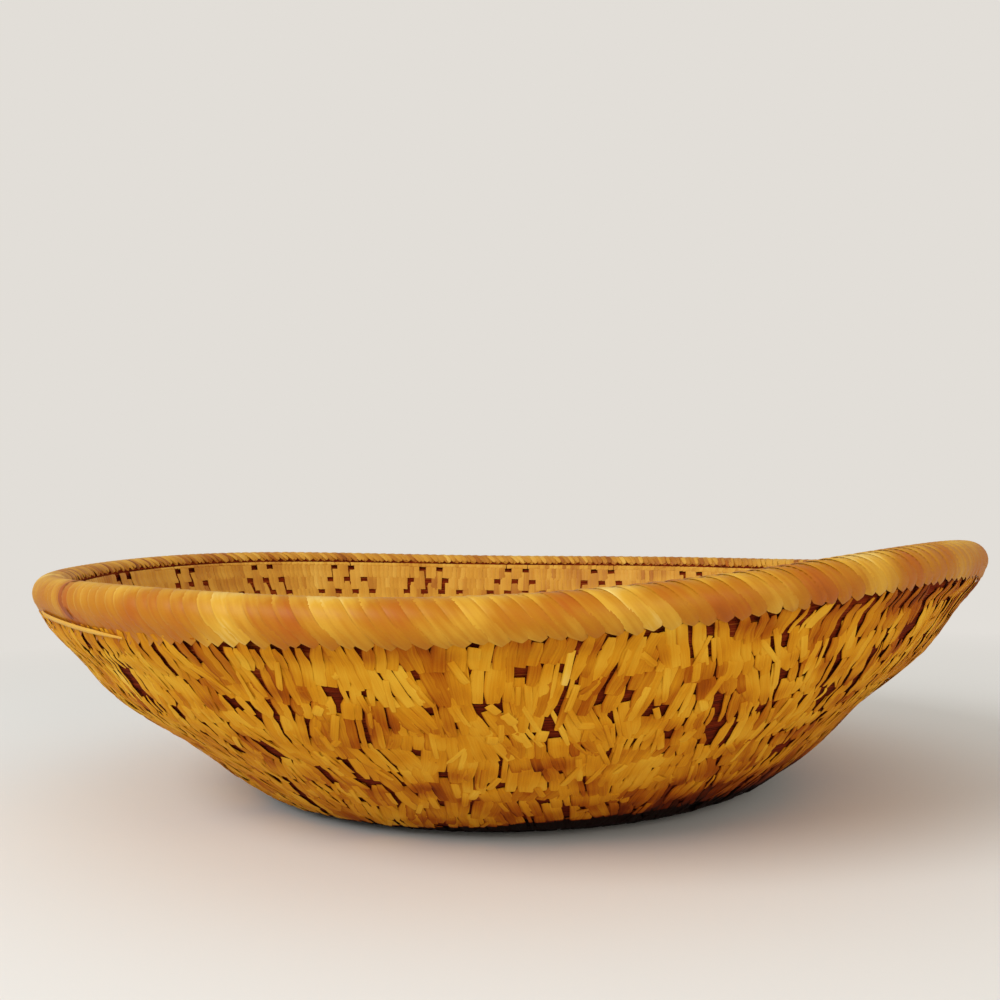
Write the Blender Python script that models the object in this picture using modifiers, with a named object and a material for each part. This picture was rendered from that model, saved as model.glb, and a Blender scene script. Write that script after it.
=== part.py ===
"""A shallow coiled grass basket, built as one is sewn.

A round of grass winds out from a knot, turns up at the foot and climbs the wall.
Its last round tapers away under a thicker rim coil, which carries a wound strip.
Flat sewing strips tie the rounds of the wall in pairs.
Units are metres, +Z is up, and the origin is under the knot on the table.
Azimuths are in degrees: 0 is the front (-Y) and they grow towards +X.
"""

import math

import bmesh
import bpy
from mathutils import Vector

MM = 0.001

# Bowl
RIM_OUTER_DIAMETER = 305 * MM
RIM_TOP_HEIGHT = 73.5 * MM
FLAT_BASE_DIAMETER = 156 * MM
FOOT_SLOPE_DEG = 29
SHOULDER_SLOPE_DEG = 64
FOOT_REACH_SHARE = 0.3
SHOULDER_REACH_SHARE = 0.3

# Warp of the wall, which the drying grass pulls into a saddle and two lesser waves
SADDLE_HEIGHT = 3.7 * MM
SADDLE_AZIMUTH = 57
WOBBLE_HEIGHT = 1.25 * MM
WOBBLE_AZIMUTH = 53
RIPPLE_HEIGHT = 0.9 * MM
RIPPLE_AZIMUTH = 52
WARP_FADE_POWER = 1.2

# Grass coil
ROW_PITCH = 5.6 * MM
ROW_GAP = 1.2 * MM
COIL_SIDES = 6
FLAT_CUT_SHARE = 0.1
TAIL_END_RADIUS = 0.4 * MM
SEAM_AZIMUTH = 270
TURN_STEPS = 24
INNER_TURN_STEPS = 12
INNER_ZONE_DIAMETER = 52 * MM

# Start knot
KNOT_DIAMETER = 13 * MM
KNOT_CROWN = 0.8 * MM
KNOT_STEPS = 24
KNOT_EDGE_STEPS = 6

# Rim
RIM_THICKNESS = 10.5 * MM
RIM_STEPS = 60
RIM_SIDES = 8
BINDING_THICKNESS = 0.5 * MM
BINDING_WRAPS = 44
BINDING_COVER_SHARE = 0.86

# Sewing strips
STRIP_WIDTH = 2.4 * MM
STRIP_THICKNESS = 0.3 * MM
STRIP_SPACE = 0.6 * MM
FIRST_SEWN_TURN = 2
ROUNDS_PER_STRIP = 2
STEPS_PER_STITCH = 2

# Running clearance between touching pieces
CLEARANCE = 0.3 * MM
CUT_OVERRUN = 5 * MM
WELD_DISTANCE = 0.001 * MM

PROFILE_SAMPLES = 240
FULL_TURN = 360

STRAW = (0.451, 0.171, 0.016)
PALE_STRAW = (0.638, 0.314, 0.056)
AMBER_STRAW = (0.597, 0.279, 0.028)
DARK_STRAW = (0.305, 0.102, 0.01)
STRAW_ROUGHNESS = 0.6


# Sizes that follow from the ones above
def coil_radius():
    return (ROW_PITCH - ROW_GAP) / 2


def flat_side(radius, sides):
    """Distance from a tube's centre to the flat of its faceted section."""
    return radius * math.cos(math.pi / sides)


def base_centre_height():
    """The base coil lies on a flat face, and the cut takes a share of its diameter."""
    return flat_side(coil_radius(), COIL_SIDES) - 2 * coil_radius() * FLAT_CUT_SHARE


def rim_radius():
    return RIM_THICKNESS / 2


def rim_centre():
    """Radius and height of the middle of the rim coil, before the warp."""
    return RIM_OUTER_DIAMETER / 2 - rim_radius(), RIM_TOP_HEIGHT - rim_radius()


def binding_inner_radius():
    return rim_radius() - BINDING_THICKNESS


def rim_coil_radius():
    return flat_side(binding_inner_radius(), RIM_SIDES) - CLEARANCE


# The wall's profile
def profile_corners():
    """Four control points, as radius and height, from the foot to the rim."""
    foot = Vector((FLAT_BASE_DIAMETER / 2, base_centre_height()))
    rim = Vector(rim_centre())
    chord = (rim - foot).length
    foot_slope = math.radians(FOOT_SLOPE_DEG)
    shoulder_slope = math.radians(SHOULDER_SLOPE_DEG)
    foot_reach = chord * FOOT_REACH_SHARE
    shoulder_reach = chord * SHOULDER_REACH_SHARE
    above_foot = foot + foot_reach * Vector((math.cos(foot_slope), math.sin(foot_slope)))
    below_rim = rim - shoulder_reach * Vector((math.cos(shoulder_slope), math.sin(shoulder_slope)))
    return foot, above_foot, below_rim, rim


def profile_table():
    """Arc length along the wall, with the point reached there."""
    corners = profile_corners()
    table = [(0, corners[0])]
    for sample in range(1, PROFILE_SAMPLES + 1):
        share = sample / PROFILE_SAMPLES
        rest = 1 - share
        weights = (rest**3, 3 * share * rest**2, 3 * share**2 * rest, share**3)
        point = sum((weight * corner for weight, corner in zip(weights, corners)), Vector((0, 0)))
        arc, before = table[-1]
        table.append((arc + (point - before).length, point))
    return table


PROFILE = profile_table()
RIM_ARC = PROFILE[-1][0]


def wall_at(arc):
    """Radius and height of the wall at this arc length."""
    high = 1
    while high < PROFILE_SAMPLES and PROFILE[high][0] < arc:
        high += 1
    (arc_low, low), (arc_high, top) = PROFILE[high - 1], PROFILE[high]
    return low.lerp(top, (arc - arc_low) / (arc_high - arc_low))


def warp(azimuth, arc):
    """How far the drying has lifted the wall here."""
    saddle = SADDLE_HEIGHT * math.cos(math.radians(2 * (azimuth - SADDLE_AZIMUTH)))
    wobble = WOBBLE_HEIGHT * math.cos(math.radians(3 * (azimuth - WOBBLE_AZIMUTH)))
    ripple = RIPPLE_HEIGHT * math.cos(math.radians(4 * (azimuth - RIPPLE_AZIMUTH)))
    fade = (max(arc, 0) / RIM_ARC) ** WARP_FADE_POWER
    return fade * (saddle + wobble + ripple)


def around(azimuth, radius, height):
    angle = math.radians(azimuth)
    return Vector((radius * math.sin(angle), -radius * math.cos(angle), height))


def wall_point(azimuth, arc):
    point = wall_at(arc)
    return around(azimuth, point.x, point.y + warp(azimuth, arc))


# Counts that follow from the profile
def sewn_arc():
    """Arc from the foot to the middle of the last full round under the rim."""
    return RIM_ARC - rim_radius() - CLEARANCE - coil_radius()


WALL_TURNS = round(sewn_arc() / ROW_PITCH)
WALL_PITCH = sewn_arc() / WALL_TURNS


def tail_half(turn):
    """Half the thickness of the last round, which the level rim squeezes to nothing."""
    below = WALL_PITCH * (turn - 1) + coil_radius() + ROW_GAP
    above = RIM_ARC - rim_radius() - CLEARANCE
    return (above - below) / 2


def coil_arc(turn):
    if turn <= WALL_TURNS:
        return WALL_PITCH * turn
    return WALL_PITCH * (turn - 1) + coil_radius() + ROW_GAP + tail_half(turn)


def coil_azimuth(turn):
    return SEAM_AZIMUTH + FULL_TURN * turn


def coil_point(turn):
    return wall_point(coil_azimuth(turn), coil_arc(turn))


# Making objects
def collection():
    made = bpy.data.collections.get("coiled_grass_basket")
    if made is None:
        made = bpy.data.collections.new("coiled_grass_basket")
        bpy.context.scene.collection.children.link(made)
    return made


def add_object(name, data, colour):
    material = bpy.data.materials.new(name)
    material.use_nodes = True
    shader = material.node_tree.nodes["Principled BSDF"]
    shader.inputs["Base Color"].default_value = (*colour, 1)
    shader.inputs["Roughness"].default_value = STRAW_ROUGHNESS
    shader.inputs["Metallic"].default_value = 0
    data.materials.append(material)
    made = bpy.data.objects.new(name, data)
    collection().objects.link(made)
    return made


def add_mesh(name, shape, colour):
    mesh = bpy.data.meshes.new(name)
    shape.to_mesh(mesh)
    shape.free()
    return add_object(name, mesh, colour)


def add_tube(name, points, radius, colour, shares=None, sides=COIL_SIDES):
    """One unbroken tube through the points, with level section and closed ends."""
    curve = bpy.data.curves.new(name, "CURVE")
    curve.dimensions = "3D"
    curve.twist_mode = "Z_UP"
    curve.bevel_depth = radius
    curve.bevel_resolution = sides // 2 - 2
    curve.use_fill_caps = True
    spline = curve.splines.new("POLY")
    spline.points.add(len(points) - 1)
    for index, point in enumerate(points):
        spline.points[index].co = (*point, 1)
        spline.points[index].radius = shares[index] if shares else 1
    return add_object(name, curve, colour)


def curve_to_mesh(made):
    """The same object as a mesh, with its loose end caps welded on."""
    graph = bpy.context.evaluated_depsgraph_get()
    mesh = bpy.data.meshes.new_from_object(made.evaluated_get(graph))
    shape = bmesh.new()
    shape.from_mesh(mesh)
    bmesh.ops.remove_doubles(shape, verts=shape.verts, dist=WELD_DISTANCE)
    shape.to_mesh(mesh)
    shape.free()
    name = made.name
    place = made.matrix_world.copy()
    curve = made.data
    bpy.data.objects.remove(made)
    bpy.data.curves.remove(curve)
    welded = bpy.data.objects.new(name, mesh)
    welded.matrix_world = place
    collection().objects.link(welded)
    return welded


def cut_below_floor(made):
    """Takes away what lies under the table's plane, so that the piece stands flat."""
    cutters = bpy.data.collections.get("cutters")
    if cutters is None:
        cutters = bpy.data.collections.new("cutters")
        bpy.context.scene.collection.children.link(cutters)
    shape = bmesh.new()
    bmesh.ops.create_cube(shape, size=1)
    bmesh.ops.scale(shape, vec=(RIM_OUTER_DIAMETER, RIM_OUTER_DIAMETER, CUT_OVERRUN), verts=shape.verts)
    bmesh.ops.translate(shape, vec=(0, 0, -CUT_OVERRUN / 2), verts=shape.verts)
    mesh = bpy.data.meshes.new(made.name + "_floor_cut")
    shape.to_mesh(mesh)
    shape.free()
    cutter = bpy.data.objects.new(made.name + "_floor_cut", mesh)
    cutter.hide_render = True
    cutter.display_type = "WIRE"
    cutters.objects.link(cutter)
    cut = made.modifiers.new("stands_flat", "BOOLEAN")
    cut.operation = "DIFFERENCE"
    cut.object = cutter


def add_strip(name, stations, thickness, colour):
    """A flat strip laid through its stations, each a middle point and half a width."""
    shape = bmesh.new()
    bmesh.ops.create_grid(shape, x_segments=len(stations) - 1, y_segments=1, size=1)
    shape.verts.ensure_lookup_table()
    for index, vertex in enumerate(sorted(shape.verts, key=lambda v: (v.co.x, v.co.y))):
        middle, side = stations[index // 2]
        vertex.co = middle - side if index % 2 == 0 else middle + side
    made = add_mesh(name, shape, colour)
    depth = made.modifiers.new("strip_thickness", "SOLIDIFY")
    depth.thickness = thickness
    depth.offset = 1
    depth.use_even_offset = True
    return made


# Start knot
def make_start_knot():
    """A turned button with a round edge and a low crown, flat where it stands."""
    knot_radius = KNOT_DIAMETER / 2
    edge = coil_radius() / 2
    top = 2 * base_centre_height()
    shape = bmesh.new()
    rim_of_knot = [Vector((0, 0, top + KNOT_CROWN))]
    for step in range(KNOT_EDGE_STEPS + 1):
        angle = math.pi / 2 * (1 - step / KNOT_EDGE_STEPS)
        across = knot_radius - edge + edge * math.cos(angle)
        rim_of_knot.append(Vector((across, 0, top - edge + edge * math.sin(angle))))
    rim_of_knot.append(Vector((knot_radius - edge / 2, 0, 0)))
    rim_of_knot.append(Vector((0, 0, 0)))
    corners = [shape.verts.new(point) for point in rim_of_knot]
    for first, second in zip(corners, corners[1:]):
        shape.edges.new((first, second))
    knot = add_mesh("start_knot", shape, DARK_STRAW)
    turned = knot.modifiers.new("turned", "SCREW")
    turned.axis = "Z"
    turned.angle = math.tau
    turned.steps = KNOT_STEPS
    turned.render_steps = KNOT_STEPS
    turned.use_merge_vertices = True
    turned.merge_threshold = WELD_DISTANCE


# Base coil
def base_start_radius():
    return KNOT_DIAMETER / 2 + CLEARANCE + coil_radius()


BASE_TURNS = round((FLAT_BASE_DIAMETER / 2 - base_start_radius()) / ROW_PITCH)
BASE_PITCH = (FLAT_BASE_DIAMETER / 2 - base_start_radius()) / BASE_TURNS


def base_point(turn):
    radius = base_start_radius() + BASE_PITCH * turn
    return around(coil_azimuth(turn), radius, base_centre_height())


def base_turn_list():
    """Places along the coil, in turns, with fewer on the small rounds in the middle."""
    inner_turns = round((INNER_ZONE_DIAMETER / 2 - base_start_radius()) / BASE_PITCH)
    inner_turns = min(max(inner_turns, 0), BASE_TURNS)
    inner = [step / INNER_TURN_STEPS for step in range(inner_turns * INNER_TURN_STEPS)]
    outer_steps = (BASE_TURNS - inner_turns) * TURN_STEPS
    outer = [inner_turns + step / TURN_STEPS for step in range(outer_steps + 1)]
    return inner + outer


def ended_before(points, joint):
    """The same points up to a butt joint in the middle of the last run, less its clearance."""
    last_run = joint - points[-1]
    return points + [joint - last_run.normalized() * CLEARANCE]


def make_base_coil():
    """Gives back the butt joint where the wall coil takes over from the base coil."""
    points = [base_point(turn) for turn in base_turn_list()]
    joint = (points[-2] + points[-1]) / 2
    tube = add_tube("base_coil", ended_before(points[:-1], joint), coil_radius(), STRAW)
    cut_below_floor(curve_to_mesh(tube))
    return joint


# Wall coil
def wall_turn_list():
    """Places along the wall coil, in turns, up to where its taper runs out."""
    turns = [step / TURN_STEPS for step in range(WALL_TURNS * TURN_STEPS + 1)]
    for step in range(1, TURN_STEPS):
        turn = WALL_TURNS + step / TURN_STEPS
        if tail_half(turn) < TAIL_END_RADIUS:
            break
        turns.append(turn)
    return turns


def make_wall_coils(joint):
    """The wall's rounds in two lengths, butted end to end halfway up."""
    turns = wall_turn_list()
    points = [coil_point(turn) for turn in turns]
    shares = [min(1, tail_half(turn) / coil_radius()) if turn > WALL_TURNS else 1 for turn in turns]
    split = WALL_TURNS // 2 * TURN_STEPS
    halfway = (points[split - 1] + points[split]) / 2
    lower = [joint] + ended_before(points[:split], halfway)
    cut_below_floor(curve_to_mesh(add_tube("lower_wall_coil", lower, coil_radius(), STRAW)))
    upper = [halfway] + points[split:]
    add_tube("upper_wall_coil", upper, coil_radius(), STRAW, [1] + shares[split:])
    return points


def least_gap(points, steps_a_turn, radius):
    """The least gap between a coil's neighbouring rounds, from points to the next round's runs."""
    least = math.inf
    for index, point in enumerate(points):
        first = index + steps_a_turn - 2
        for start in range(first, min(first + 4, len(points) - 1)):
            run = points[start + 1] - points[start]
            share = min(max((point - points[start]).dot(run) / run.length_squared, 0), 1)
            least = min(least, (points[start] + share * run - point).length)
    return least - 2 * radius


# Rim
def rim_point(azimuth, angle, distance):
    """A point round the rim coil's section: angle 0 points outwards and 90 up."""
    radius, height = rim_centre()
    across = distance * math.cos(math.radians(angle))
    rise = distance * math.sin(math.radians(angle))
    return around(azimuth, radius + across, height + rise + warp(azimuth, RIM_ARC))


def make_rim_coil():
    azimuths = [SEAM_AZIMUTH + FULL_TURN * step / RIM_STEPS for step in range(RIM_STEPS)]
    points = [rim_point(azimuth, 0, 0) for azimuth in azimuths]
    joint = (points[-1] + points[0]) / 2
    whole_ring = [joint] + ended_before(points, joint)
    add_tube("rim_coil", whole_ring, rim_coil_radius(), AMBER_STRAW, sides=RIM_SIDES)


def make_rim_binding():
    """One wide strip wound round the rim coil, wrap beside wrap."""
    wrap_azimuth = FULL_TURN / BINDING_WRAPS
    half_cover = wrap_azimuth * BINDING_COVER_SHARE / 2
    steps = (BINDING_WRAPS - 1) * RIM_SIDES
    stations = []
    for step in range(steps + 1):
        azimuth = SEAM_AZIMUTH + wrap_azimuth / 2 + wrap_azimuth * step / RIM_SIDES
        angle = FULL_TURN * step / RIM_SIDES
        before = rim_point(azimuth - half_cover, angle, binding_inner_radius())
        after = rim_point(azimuth + half_cover, angle, binding_inner_radius())
        stations.append(((before + after) / 2, (before - after) / 2))
    add_strip("rim_binding", stations, BINDING_THICKNESS, AMBER_STRAW)


# Sewing strips
class Pair:
    """Two neighbouring rounds of the wall, seen square to the coil at one place."""

    def __init__(self, turn):
        lower = coil_point(turn)
        upper = coil_point(turn + 1)
        self.middle = (lower + upper) / 2
        self.half = (upper - lower).length / 2
        self.up = (upper - lower).normalized()
        ahead = around(coil_azimuth(turn) + FULL_TURN / 4, 1, 0)
        self.out = ahead.cross(self.up).normalized()
        self.along = self.up.cross(self.out)

    def at(self, along, up, out):
        return self.middle + along * self.along + up * self.up + out * self.out


def groove_depth(half):
    """How far from the coils' middle plane a strip can lie in the groove between them."""
    shoulder = min(max(half - STRIP_WIDTH / 2, 0), coil_radius())
    return math.sqrt(coil_radius() ** 2 - shoulder**2) + CLEARANCE


def stitch_stations(turn, is_first, is_last):
    """A strip's way round both rounds: up inside, down outside, and up inside again."""
    start = Pair(turn)
    end = Pair(turn + 1 / TURN_STEPS)
    here = Pair(turn)
    here.middle = (start.middle + end.middle) / 2
    here.along = (end.middle - start.middle).normalized()
    here.out = here.along.cross((start.up + end.up) / 2).normalized()
    here.up = here.out.cross(here.along)
    here.half = (start.half + end.half) / 2
    half_width = STRIP_WIDTH / 2
    shift = half_width + STRIP_SPACE / 2
    level = coil_radius() + CLEARANCE
    reach = here.half + level
    along_side = half_width * here.along
    up_side = half_width * here.up
    groove = groove_depth(here.half)
    lead = shift + STRIP_WIDTH
    stations = [
        (here.at(-shift, 0, -level), along_side - up_side),
        (here.at(-shift, reach, -level), along_side),
        (here.at(-shift, reach, level), along_side),
        (here.at(shift, -reach, level), along_side),
        (here.at(shift, -reach, -level), along_side),
        (here.at(shift, 0, -level), along_side - up_side),
    ]
    if is_first:
        stations[0] = (stations[0][0], along_side)
    else:
        stations.insert(0, (here.at(-lead, 0, -groove), -up_side))
    if is_last:
        stations[-1] = (stations[-1][0], along_side)
    else:
        stations.append((here.at(lead, 0, -groove), -up_side))
    return stations


def room_over(turn):
    """Free space above a round at this place, below the rim's binding."""
    return RIM_ARC - rim_radius() - coil_arc(turn) - coil_radius()


def make_sewing_strip(number, first_turn, last_turn):
    offset = number % STEPS_PER_STITCH
    leg = 2 * CLEARANCE + STRIP_THICKNESS
    steps = []
    for step in range(offset, (last_turn - first_turn - 1) * TURN_STEPS, STEPS_PER_STITCH):
        if room_over(first_turn + 1 + (step + 1) / TURN_STEPS) > leg:
            steps.append(step)
    stations = []
    for step in steps:
        is_first = step == steps[0]
        is_last = step == steps[-1]
        stations += stitch_stations(first_turn + step / TURN_STEPS, is_first, is_last)
        if is_last:
            break
        for bend in range(1, STEPS_PER_STITCH + 1):
            pair = Pair(first_turn + (step + bend) / TURN_STEPS)
            side = STRIP_WIDTH / 2 * pair.up
            stations.append((pair.at(0, 0, -groove_depth(pair.half)), -side))
    add_strip(f"sewing_strip_{number + 1}", stations, STRIP_THICKNESS, PALE_STRAW)


def make_sewing_strips():
    count = (WALL_TURNS - FIRST_SEWN_TURN) // ROUNDS_PER_STRIP
    for number in range(count):
        first_turn = FIRST_SEWN_TURN + number * ROUNDS_PER_STRIP
        make_sewing_strip(number, first_turn, first_turn + ROUNDS_PER_STRIP)


for old in list(bpy.data.objects):
    bpy.data.objects.remove(old)

make_start_knot()
coil_joint = make_base_coil()
wall_points = make_wall_coils(coil_joint)
make_rim_coil()
make_rim_binding()
make_sewing_strips()

full_points = wall_points[: WALL_TURNS * TURN_STEPS + 1]
print(f"base coil: {BASE_TURNS} rounds")
print(f"wall coil: {WALL_TURNS} rounds at {WALL_PITCH / MM:.2f} mm")
print(f"least gap between the wall's rounds: {least_gap(full_points, TURN_STEPS, coil_radius()) / MM:.2f} mm")
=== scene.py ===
# %% [markdown]
# Dressing a coiled grass basket
#
# The basket is one long bundle of grass, wound outwards and upwards like a spring.
# Thousands of flat straw splints sew each round to the one below it.
# The frame gives the bundle as plain tubes. This script lays the real surface over them:
# the dark grass, neat stitches on the inside, rough stitches on the outside,
# and broad smooth wraps round the rim.

# %% Load the frame
import math

import bmesh
import bpy
import numpy as np
from mathutils import Matrix, Vector


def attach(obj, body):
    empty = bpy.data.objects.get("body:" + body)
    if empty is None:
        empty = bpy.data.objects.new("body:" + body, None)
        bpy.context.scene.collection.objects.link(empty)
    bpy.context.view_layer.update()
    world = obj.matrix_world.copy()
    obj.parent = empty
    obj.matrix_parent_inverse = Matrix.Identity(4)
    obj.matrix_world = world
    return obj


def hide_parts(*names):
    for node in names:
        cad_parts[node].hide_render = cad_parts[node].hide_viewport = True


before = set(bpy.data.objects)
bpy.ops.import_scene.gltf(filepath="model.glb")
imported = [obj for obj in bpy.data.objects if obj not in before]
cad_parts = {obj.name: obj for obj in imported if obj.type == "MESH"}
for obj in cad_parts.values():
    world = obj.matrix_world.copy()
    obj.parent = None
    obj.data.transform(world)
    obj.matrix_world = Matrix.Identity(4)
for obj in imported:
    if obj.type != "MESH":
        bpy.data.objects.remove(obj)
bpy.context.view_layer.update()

MM = 0.001
FULL_TURN = 360

# %% [markdown]
# The camera stands close in front of the basket, just above the rim, and looks level.
# Its distance decides how much the near rim is magnified against the far one.
# The distance, height and lens came from the outlines of the rim, wall and base together.

# %% Camera
CAMERA_DISTANCE = 387.2 * MM
CAMERA_HEIGHT = 83.4 * MM
CAMERA_ROLL = -0.0166
LENS_MM = 40.18
CAMERA_SHIFT = (-0.0096, 0.0324)


def make_camera():
    data = bpy.data.cameras.new("camera")
    data.lens = LENS_MM
    data.sensor_width = 36
    data.shift_x, data.shift_y = CAMERA_SHIFT
    data.clip_start = 0.01
    camera = bpy.data.objects.new("camera", data)
    place = Matrix.Translation((0, -CAMERA_DISTANCE, CAMERA_HEIGHT))
    level = Matrix.Rotation(math.pi / 2, 4, "X")
    camera.matrix_world = place @ level @ Matrix.Rotation(CAMERA_ROLL, 4, "Z")
    bpy.context.scene.collection.objects.link(camera)
    bpy.context.scene.camera = camera
    print("camera at", place.translation)


make_camera()

# %% [markdown]
# Everything lies on one surface: the middle of the grass coils.
# It is flat under the bowl, turns up at the foot and steepens towards the rim.
# The whole wall has dried into a slight saddle, so each azimuth is lifted or lowered.
# Azimuth 0 is the front, and azimuths grow towards +X.

# %% The bowl's surface
RIM_OUTER_DIAMETER = 305 * MM
RIM_TOP_HEIGHT = 73.5 * MM
RIM_THICKNESS = 10.5 * MM
FLAT_BASE_DIAMETER = 156 * MM
FOOT_SLOPE_DEG = 29
SHOULDER_SLOPE_DEG = 64
REACH_SHARE = 0.3
SADDLE_HEIGHT = 3.7 * MM
SADDLE_AZIMUTH = 57
WOBBLE_HEIGHT = 1.25 * MM
WOBBLE_AZIMUTH = 53
RIPPLE_HEIGHT = 0.9 * MM
RIPPLE_AZIMUTH = 52
WARP_FADE_POWER = 1.2
GRASS_RADIUS = 2.2 * MM
ROW_PITCH = 5.6 * MM
KNOT_RADIUS = 6.5 * MM
CLEARANCE = 0.3 * MM
SEAM_AZIMUTH = 270
BASE_MIDDLE = 1.465 * MM
TABLE_STEP = 0.25 * MM
PAST_RIM = 6 * MM
SOFTENING = 3 * MM

RIM_RADIUS = RIM_THICKNESS / 2
RIM_MIDDLE_RADIUS = RIM_OUTER_DIAMETER / 2 - RIM_RADIUS
RIM_MIDDLE_HEIGHT = RIM_TOP_HEIGHT - RIM_RADIUS
BASE_RADIUS = FLAT_BASE_DIAMETER / 2


def wall_curve(samples=400):
    """Radius and height from the foot to the middle of the rim."""
    foot = np.array((BASE_RADIUS, BASE_MIDDLE))
    rim = np.array((RIM_MIDDLE_RADIUS, RIM_MIDDLE_HEIGHT))
    reach = np.linalg.norm(rim - foot) * REACH_SHARE
    low, high = math.radians(FOOT_SLOPE_DEG), math.radians(SHOULDER_SLOPE_DEG)
    above_foot = foot + reach * np.array((math.cos(low), math.sin(low)))
    below_rim = rim - reach * np.array((math.cos(high), math.sin(high)))
    share = np.linspace(0, 1, samples)[:, None]
    rest = 1 - share
    points = rest**3 * foot + 3 * share * rest**2 * above_foot
    return points + 3 * share**2 * rest * below_rim + share**3 * rim


def bowl_table():
    """Arc length with radius, height and slope, from the middle of the base to past the rim."""
    wall = wall_curve()
    steps = np.linalg.norm(np.diff(wall, axis=0), axis=1)
    wall_arc = np.concatenate(([0], np.cumsum(steps)))
    rim_arc = wall_arc[-1]
    arc = np.arange(-BASE_RADIUS, rim_arc + PAST_RIM, TABLE_STEP)
    steep = math.radians(SHOULDER_SLOPE_DEG)
    beyond = np.maximum(arc - rim_arc, 0)
    radius = np.where(arc < 0, BASE_RADIUS + arc, np.interp(arc, wall_arc, wall[:, 0]))
    height = np.interp(arc, wall_arc, wall[:, 1])
    radius = radius + beyond * math.cos(steep)
    height = height + beyond * math.sin(steep)
    slope = np.arctan2(np.gradient(height), np.gradient(radius))
    window = 2 * round(SOFTENING / TABLE_STEP) + 1
    padded = np.pad(slope, window // 2, mode="edge")
    slope = np.convolve(padded, np.ones(window) / window, mode="valid")
    return arc, radius, height, slope, rim_arc


ARC, RADIUS, HEIGHT, SLOPE, RIM_ARC = bowl_table()
print(f"wall from foot to rim: {RIM_ARC / MM:.1f} mm")


def warp(azimuth, arc):
    fade = (np.maximum(arc, 0) / RIM_ARC) ** WARP_FADE_POWER
    saddle = SADDLE_HEIGHT * np.cos(np.radians(2 * (azimuth - SADDLE_AZIMUTH)))
    wobble = WOBBLE_HEIGHT * np.cos(np.radians(3 * (azimuth - WOBBLE_AZIMUTH)))
    ripple = RIPPLE_HEIGHT * np.cos(np.radians(4 * (azimuth - RIPPLE_AZIMUTH)))
    return fade * (saddle + wobble + ripple)


# Where the wall bulges out or sinks in: azimuth, arc, reach in degrees, reach along the wall, depth
UNEVEN = (
    (-60, 85 * MM, 30, 8 * MM, 1.5 * MM),
    (-66, 66 * MM, 34, 13 * MM, 1.9 * MM),
    (-72, 34 * MM, 36, 13 * MM, -1.5 * MM),
    (66, 73 * MM, 26, 11 * MM, 1.4 * MM),
    (64, 87 * MM, 24, 7 * MM, 0.7 * MM),
    (72, 46 * MM, 26, 12 * MM, -1.9 * MM),
)


def unevenness(azimuth, arc, sign):
    """Only the bulges for sign 1, and only the hollows for sign -1."""
    total = 0
    for spot_azimuth, spot_arc, degrees, distance, depth in UNEVEN:
        turned = (azimuth - spot_azimuth + 180) % FULL_TURN - 180
        fall = np.exp(-((turned / degrees) ** 2) - ((arc - spot_arc) / distance) ** 2)
        total = total + max(depth * sign, 0) * sign * fall
    return total


def around(azimuth, radius, height):
    angle = np.radians(azimuth)
    parts = np.broadcast_arrays(radius * np.sin(angle), -radius * np.cos(angle), height)
    return np.stack(parts, axis=-1)


def on_bowl(azimuth, arc, out):
    """A point of the bowl, out from the coils' middle: positive is outside, negative inside."""
    slope = np.interp(arc, ARC, SLOPE)
    out = out + unevenness(azimuth, arc, -1)
    radius = np.interp(arc, ARC, RADIUS) + out * np.sin(slope)
    height = np.interp(arc, ARC, HEIGHT) - out * np.cos(slope) + warp(azimuth, arc)
    return around(azimuth, radius, height)


def bowl_face(azimuth, arc):
    """The direction that points straight out of the bowl's outer side."""
    slope = np.interp(arc, ARC, SLOPE)
    return around(azimuth, np.sin(slope), -np.cos(slope))


# %% [markdown]
# The coil is counted in turns: turn 0 is the foot, the base lies at negative turns
# and the wall has sixteen. A place on the basket is then a turn and a distance up or down from it.

# %% Places along the coil
SEWN_ARC = RIM_ARC - RIM_RADIUS - CLEARANCE - GRASS_RADIUS
WALL_TURNS = round(SEWN_ARC / ROW_PITCH)
WALL_PITCH = SEWN_ARC / WALL_TURNS
BASE_START = KNOT_RADIUS + CLEARANCE + GRASS_RADIUS
BASE_TURNS = round((BASE_RADIUS - BASE_START) / ROW_PITCH)
BASE_PITCH = (BASE_RADIUS - BASE_START) / BASE_TURNS
print(f"{BASE_TURNS} base rounds, {WALL_TURNS} wall rounds {WALL_PITCH / MM:.2f} mm apart")


def coil_arc(turn):
    return np.where(turn < 0, turn * BASE_PITCH, turn * WALL_PITCH)


def coil_azimuth(turn):
    return SEAM_AZIMUTH + FULL_TURN * turn


def bowl_radius(arc):
    return np.interp(arc, ARC, RADIUS)


def turns_every(spacing, first_turn, last_turn):
    """Turns that lie one spacing apart, measured along the coil."""
    turn = np.linspace(first_turn, last_turn, 4000)
    radius = bowl_radius(coil_arc(turn))
    steps = math.tau * (radius[1:] + radius[:-1]) / 2 * np.diff(turn)
    length = np.concatenate(([0], np.cumsum(steps)))
    return np.interp(np.arange(0, length[-1], spacing), length, turn)


def degrees_for(distance, arc):
    """How many degrees of azimuth a distance along the coil is."""
    return np.degrees(distance / np.maximum(bowl_radius(arc), 4 * MM))


def drift(azimuth, arc, waves, seed):
    """A smooth random field from about -1 to 1, with no seam round the bowl."""
    draw = np.random.default_rng(seed)
    total = 0
    for wave in range(5):
        turns = round(draw.uniform(0.3, 1) * waves)
        climb = draw.uniform(-1, 1) * waves / BASE_RADIUS
        total = total + np.sin(np.radians(azimuth) * turns + arc * climb + draw.uniform(0, math.tau))
    return total / 2.5


def ease(share):
    share = np.clip(share, 0, 1)
    return share * share * (3 - 2 * share)
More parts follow.
